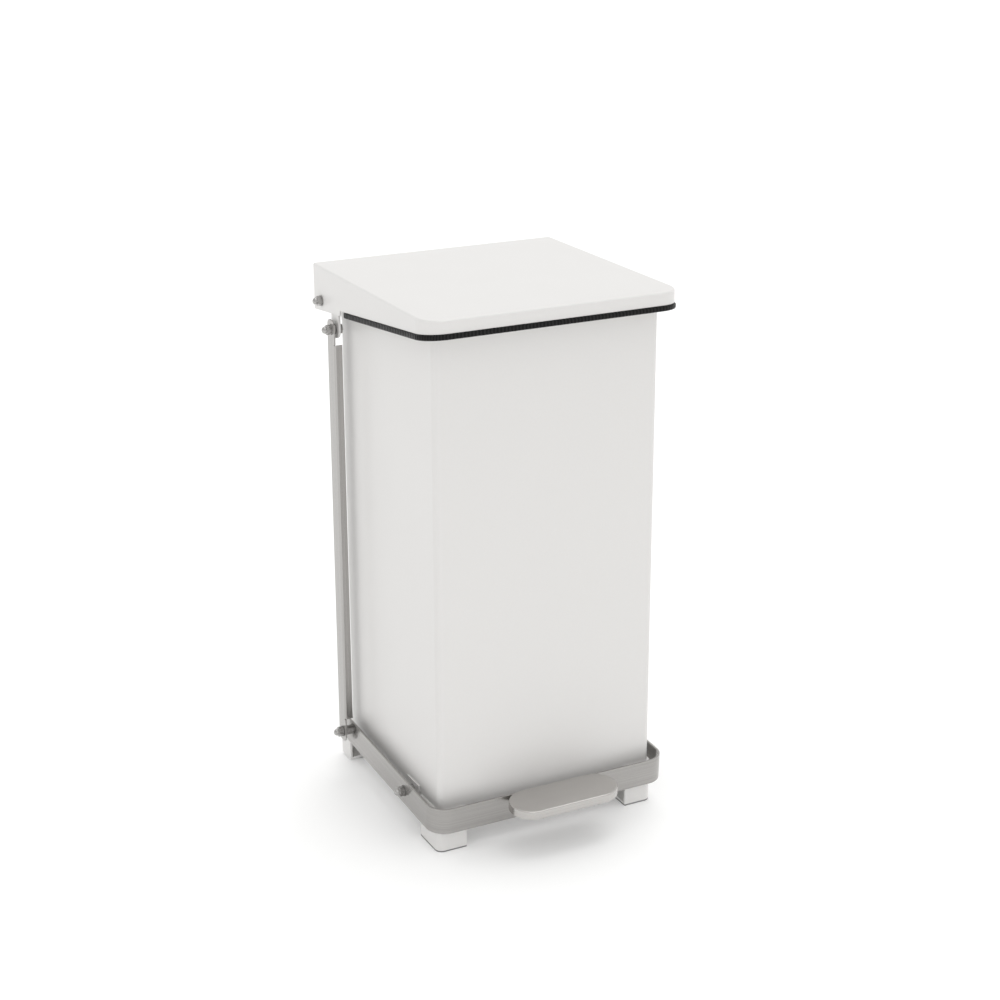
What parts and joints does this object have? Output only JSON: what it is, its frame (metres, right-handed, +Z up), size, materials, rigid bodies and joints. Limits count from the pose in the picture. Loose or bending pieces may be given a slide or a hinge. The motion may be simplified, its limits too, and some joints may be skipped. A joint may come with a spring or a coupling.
{
  "type": "step-on waste can",
  "caption": "Square painted steel waste can with a sloping hinged lid, a foot pedal frame and lift rods down both sides.",
  "frame": {"origin": "on the floor, at the middle of the footprint from the pedal's front edge to the lid's rear face", "axes": "+Z up, the pedal and the lid's opening side face -Y, +X to the right seen from the front"},
  "size_m": [0.4194, 0.4372, 0.77],
  "materials": {
    "white_paint": "semi-gloss powder coat",
    "brushed_steel": "brushed lengthwise",
    "plated_hardware": "bright plated",
    "black_rubber": "matt, finely ribbed",
    "grey_liner": "moulded satin",
    "glide": "matt",
    "sleeve": "satin"
  },
  "bodies": {
    "can": {"body_shell": "white_paint", "base_pan": "white_paint", "rim_flange": "white_paint", "rim_trim": "black_rubber", "liner": "grey_liner", "hinge_bracket": "white_paint", "front_foot_left": "white_paint", "front_foot_right": "white_paint", "front_foot_pad_left": "black_rubber", "front_foot_pad_right": "black_rubber", "rear_foot_left": "white_paint", "rear_foot_right": "white_paint", "rear_foot_glide_left": "glide", "rear_foot_glide_right": "glide", "pivot_plate_left": "white_paint", "pivot_plate_right": "white_paint", "pivot_pin_left": "plated_hardware", "pivot_pin_right": "plated_hardware", "pivot_spacers": "plated_hardware", "pivot_washers": "plated_hardware", "pivot_cap_nuts": "plated_hardware"},
    "lid": {"lid_shell": "white_paint", "lid_stiffener": "white_paint", "link_tab_left": "white_paint", "link_tab_right": "white_paint", "link_weld_nuts": "plated_hardware", "hinge_rod": "plated_hardware", "hinge_spacers": "sleeve", "hinge_washers": "plated_hardware", "hinge_cap_nuts": "plated_hardware"},
    "pedal_frame": {"pedal_bar": "brushed_steel", "pedal_tray": "brushed_steel", "pedal_bracket": "brushed_steel", "pedal_rivets": "plated_hardware", "pedal_bumpers": "black_rubber", "rod_pins": "plated_hardware", "rod_pin_nuts": "plated_hardware", "rod_spacers": "plated_hardware", "rod_washers": "plated_hardware", "rod_cap_nuts": "plated_hardware"},
    "rod_left": {"lift_rod_left": "brushed_steel", "lift_bolt_left": "plated_hardware", "lift_inner_nut_left": "plated_hardware", "lift_washer_left": "plated_hardware", "lift_cap_nut_left": "plated_hardware"},
    "rod_right": {"lift_rod_right": "brushed_steel", "lift_bolt_right": "plated_hardware", "lift_inner_nut_right": "plated_hardware", "lift_washer_right": "plated_hardware", "lift_cap_nut_right": "plated_hardware"}
  },
  "joints": [
    {"name": "lid_hinge", "type": "hinge", "parent": "can", "child": "lid", "pos_m": [0, 0.189, 0.721], "axis": [-1, 0, 0], "range_deg": [0, 60]},
    {"name": "pedal_pivot", "type": "hinge", "parent": "can", "child": "pedal_frame", "pos_m": [0, -0.054, 0.061], "axis": [1, 0, 0], "range_deg": [0, 16.15]},
    {"name": "rod_left_pivot", "type": "hinge", "parent": "pedal_frame", "child": "rod_left", "pos_m": [-0.19, 0.14381, 0.06964], "axis": [-1, 0, 0], "range_deg": [0, 16.15]},
    {"name": "rod_right_pivot", "type": "hinge", "parent": "pedal_frame", "child": "rod_right", "pos_m": [0.19, 0.14381, 0.06964], "axis": [-1, 0, 0], "range_deg": [0, 16.15]}
  ],
  "couplings": [
    {"joint": "pedal_pivot", "follows": "lid_hinge", "ratio": 0.26893},
    {"joint": "rod_left_pivot", "follows": "lid_hinge", "ratio": 0.26893},
    {"joint": "rod_right_pivot", "follows": "lid_hinge", "ratio": 0.26893}
  ]
}
